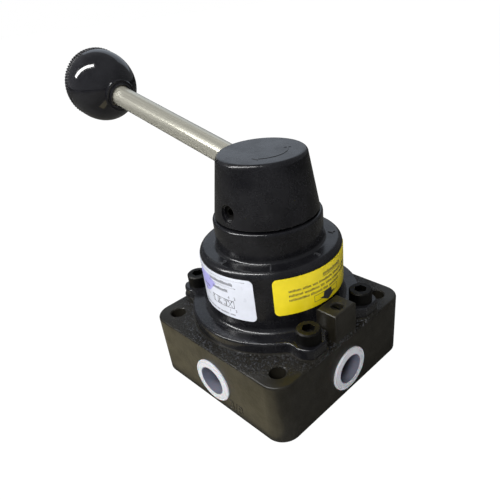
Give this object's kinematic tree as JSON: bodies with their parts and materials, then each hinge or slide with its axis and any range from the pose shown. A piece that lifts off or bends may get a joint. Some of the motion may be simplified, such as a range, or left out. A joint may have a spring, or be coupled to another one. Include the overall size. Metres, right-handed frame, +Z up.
{
  "type": "hand lever air valve",
  "caption": "Hand lever air valve with a square ported base, round bonnet, conical handle cap, chromed rod and black ball knob",
  "frame": {"origin": "centre of the base underside, on the rotor axis", "axes": "+Z up along the rotor axis, +X out of the supply port face, the centred lever points to -X"},
  "size_m": [0.1728, 0.0878, 0.1387],
  "materials": {
    "body_coat": "black coated die-cast aluminium, semi-gloss",
    "bonnet_coat": "black enamel on cast aluminium, semi-gloss",
    "handle_coat": "black enamel on cast aluminium, semi-gloss",
    "black_oxide": "black oxide socket screws",
    "hard_steel": "hardened and ground steel",
    "spring_steel": "oiled spring steel",
    "shaft_steel": "turned carbon steel",
    "seal_rubber": "nitrile rubber, matt",
    "lapped_steel": "lapped flat seat face",
    "disc_polymer": "acetal resin, machined",
    "bush_bronze": "sintered bronze, oil impregnated",
    "washer_polymer": "white fluoropolymer washer",
    "spacer_aluminium": "turned aluminium",
    "label_white": "printed polyester label, satin",
    "label_yellow": "printed polyester label, satin",
    "rod_chrome": "bright chrome plating with light wear",
    "knob_gloss": "phenolic, polished",
    "insert_brass": "turned brass insert",
    "plug_clear": "milky polyethylene transport plugs"
  },
  "bodies": {
    "valve_body": {"body_block": "body_coat", "pad_plug": "black_oxide", "bonnet": "bonnet_coat", "stop_pin": "hard_steel", "bonnet_screws": "black_oxide", "bonnet_o_ring": "seal_rubber", "port_seals": "seal_rubber", "seat_pins": "hard_steel", "seat_plate": "lapped_steel", "shaft_bush": "bush_bronze", "shaft_seal": "seal_rubber", "seal_spacer": "spacer_aluminium", "neck_wiper": "seal_rubber", "name_label": "label_white", "supply_label": "label_yellow", "detent_spring_1": "spring_steel", "detent_spring_2": "spring_steel"},
    "lever": {"rotor_shaft": "shaft_steel", "thrust_washer": "washer_polymer", "drive_pins": "hard_steel", "disc_springs": "spring_steel", "valve_disc": "disc_polymer", "handle_cap": "handle_coat", "cap_grub_screw": "black_oxide", "lever_rod": "rod_chrome", "knob": "knob_gloss", "knob_insert": "insert_brass", "knob_end_cap": "knob_gloss"},
    "detent_ball_1": {"detent_ball_1": "hard_steel"},
    "detent_ball_2": {"detent_ball_2": "hard_steel"},
    "port_plug_1": {"port_plug_1": "plug_clear"},
    "port_plug_2": {"port_plug_2": "plug_clear"},
    "port_plug_3": {"port_plug_3": "plug_clear"},
    "port_plug_4": {"port_plug_4": "plug_clear"}
  },
  "joints": [
    {"name": "lever_swing", "type": "hinge", "parent": "valve_body", "child": "lever", "pos_m": [0, 0, 0.0505], "axis": [0, 0, 1], "range_deg": [-45, 45]},
    {"name": "detent_1", "type": "slide", "parent": "valve_body", "child": "detent_ball_1", "axis": [0, 0, -1], "range_m": [0, 0.0005], "stiffness_N_per_m": 1500, "springref_m": 0.004, "deforming": ["detent_spring_1"]},
    {"name": "detent_2", "type": "slide", "parent": "valve_body", "child": "detent_ball_2", "axis": [0, 0, -1], "range_m": [0, 0.0005], "stiffness_N_per_m": 1500, "springref_m": 0.004, "deforming": ["detent_spring_2"]},
    {"name": "plug_pull_1", "type": "slide", "parent": "valve_body", "child": "port_plug_1", "axis": [1, 0, 0], "range_m": [0, 0.03]},
    {"name": "plug_pull_2", "type": "slide", "parent": "valve_body", "child": "port_plug_2", "axis": [0, 1, 0], "range_m": [0, 0.03]},
    {"name": "plug_pull_3", "type": "slide", "parent": "valve_body", "child": "port_plug_3", "axis": [-1, 0, 0], "range_m": [0, 0.03]},
    {"name": "plug_pull_4", "type": "slide", "parent": "valve_body", "child": "port_plug_4", "axis": [0, -1, 0], "range_m": [0, 0.03]}
  ]
}
